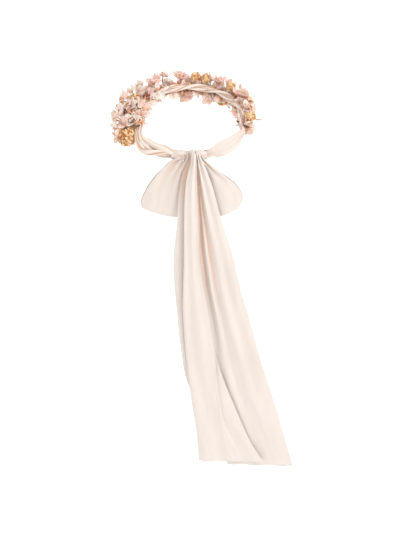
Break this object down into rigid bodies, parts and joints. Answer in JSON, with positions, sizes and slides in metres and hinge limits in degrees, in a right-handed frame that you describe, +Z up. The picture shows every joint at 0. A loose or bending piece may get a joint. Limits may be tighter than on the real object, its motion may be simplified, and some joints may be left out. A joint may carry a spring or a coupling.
{
  "type": "flower crown",
  "caption": "Wired hoop of pink and gold dried flowers with a twisted ribbon band, tied behind in a soft bow with two long tails.",
  "frame": {"origin": "centre of the head opening, on the level of the hoop's wire", "axes": "+Z up out of the head opening; +Y towards the wearer's forehead, so the bow is on the -Y side; +X towards the wearer's right"},
  "size_m": [0.3323, 0.2581, 0.7585],
  "materials": {
    "wire": "satin",
    "floral_tape": "matte",
    "ribbon": "satin",
    "pink_petal": "matte",
    "pale_petal": "matte",
    "gold_floret": "matte",
    "copper_pod": "satin",
    "leaf": "matte",
    "twig": "matte"
  },
  "bodies": {
    "crown": {"big_cluster_outer_01": "gold_floret", "bow_knot": "ribbon", "copper_pod_lower_04": "copper_pod", "copper_pod_outer_03": "copper_pod", "copper_pod_upper_01": "copper_pod", "copper_pod_upper_02": "copper_pod", "cream_leaf_lower_01": "leaf", "floral_tape": "floral_tape", "gold_cluster_lower_09": "gold_floret", "gold_cluster_lower_10": "gold_floret", "gold_cluster_outer_06": "gold_floret", "gold_cluster_outer_07": "gold_floret", "gold_cluster_outer_08": "gold_floret", "gold_cluster_upper_01": "gold_floret", "gold_cluster_upper_02": "gold_floret", "gold_cluster_upper_03": "gold_floret", "gold_cluster_upper_04": "gold_floret", "gold_cluster_upper_05": "gold_floret", "hoop_wire": "wire", "pale_blossom_lower_05": "pale_petal", "pale_blossom_outer_03": "pale_petal", "pale_blossom_outer_04": "pale_petal", "pale_blossom_upper_01": "pale_petal", "pale_blossom_upper_02": "pale_petal", "pink_blossom_lower_15": "pink_petal", "pink_blossom_lower_16": "pink_petal", "pink_blossom_lower_17": "pink_petal", "pink_blossom_lower_18": "pink_petal", "pink_blossom_outer_07": "pink_petal", "pink_blossom_outer_08": "pink_petal", "pink_blossom_outer_09": "pink_petal", "pink_blossom_outer_10": "pink_petal", "pink_blossom_outer_11": "pink_petal", "pink_blossom_outer_12": "pink_petal", "pink_blossom_outer_13": "pink_petal", "pink_blossom_outer_14": "pink_petal", "pink_blossom_upper_01": "pink_petal", "pink_blossom_upper_02": "pink_petal", "pink_blossom_upper_03": "pink_petal", "pink_blossom_upper_04": "pink_petal", "pink_blossom_upper_05": "pink_petal", "pink_blossom_upper_06": "pink_petal", "ribbon_span_right": "ribbon", "ribbon_strand_lower": "ribbon", "ribbon_strand_upper": "ribbon", "round_bud_lower_02": "pale_petal", "round_bud_upper_01": "pale_petal", "tie_wire_1": "wire", "tie_wire_2": "wire", "tie_wire_3": "wire", "tie_wire_4": "wire", "twig_outer_02": "twig", "twig_outer_03": "twig", "twig_outer_04": "twig", "twig_upper_01": "twig"},
    "front_tail": {"ribbon_tail_front": "ribbon"},
    "rear_tail": {"ribbon_tail_rear": "ribbon"},
    "left_loop": {"bow_loop_left": "ribbon"},
    "right_loop": {"bow_loop_right": "ribbon"}
  },
  "joints": [
    {"name": "front_tail_swing", "type": "hinge", "parent": "crown", "child": "front_tail", "pos_m": [0, -0.1191, -0.0022], "axis": [-1, 0, 0], "range_deg": [0, 65]},
    {"name": "rear_tail_swing", "type": "hinge", "parent": "crown", "child": "rear_tail", "pos_m": [0, -0.1191, -0.0022], "axis": [-1, 0, 0], "range_deg": [0, 60]},
    {"name": "left_loop_lift", "type": "hinge", "parent": "crown", "child": "left_loop", "pos_m": [-0.007, -0.1098, -0.0125], "axis": [0, 1, 0], "range_deg": [0, 20]},
    {"name": "right_loop_lift", "type": "hinge", "parent": "crown", "child": "right_loop", "pos_m": [0.007, -0.1098, -0.0125], "axis": [0, -1, 0], "range_deg": [0, 20]}
  ],
  "couplings": [
    {"joint": "rear_tail_swing", "follows": "front_tail_swing", "ratio": 0.9}
  ]
}
